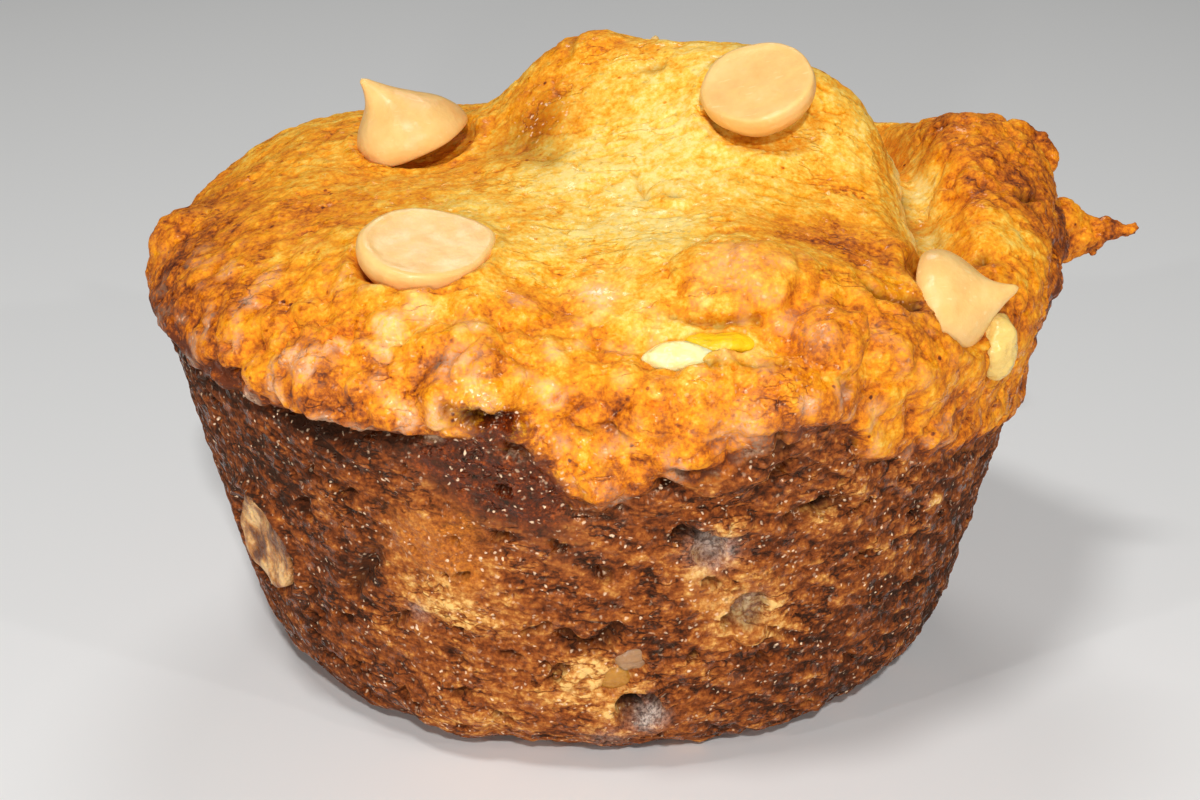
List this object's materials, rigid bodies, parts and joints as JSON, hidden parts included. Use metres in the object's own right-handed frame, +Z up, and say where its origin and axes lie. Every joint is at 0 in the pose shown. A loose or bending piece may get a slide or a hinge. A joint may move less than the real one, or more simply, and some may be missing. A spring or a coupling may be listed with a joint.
{
  "type": "muffin",
  "caption": "Round baked muffin with a tin-shaped tapered side, a domed split crown, a flat base, and baking chips and fruit baked in.",
  "frame": {"origin": "centre of the flat base that the muffin stands on", "axes": "+Z up; -Y towards the front, where the crown slumps over the tin line; +X towards the split collar and its drip of set batter"},
  "size_m": [0.0827, 0.0727, 0.0505],
  "materials": {
    "crust": "baked crumb, oily and golden on top, dark and grainy on the side",
    "chip": "smooth satin confectionery",
    "fruit": "soft and wet"
  },
  "bodies": {
    "root": {"muffin_body": "crust", "chip_upright_left": "chip", "chip_flat_front": "chip", "chip_flat_back": "chip", "chip_side_right": "chip", "chip_in_wall": "chip", "chip_rear_upright": "chip", "chip_rear_flat": "chip", "fruit_crease_front": "fruit", "fruit_split_right": "fruit", "fruit_wall_low": "fruit"}
  },
  "joints": []
}
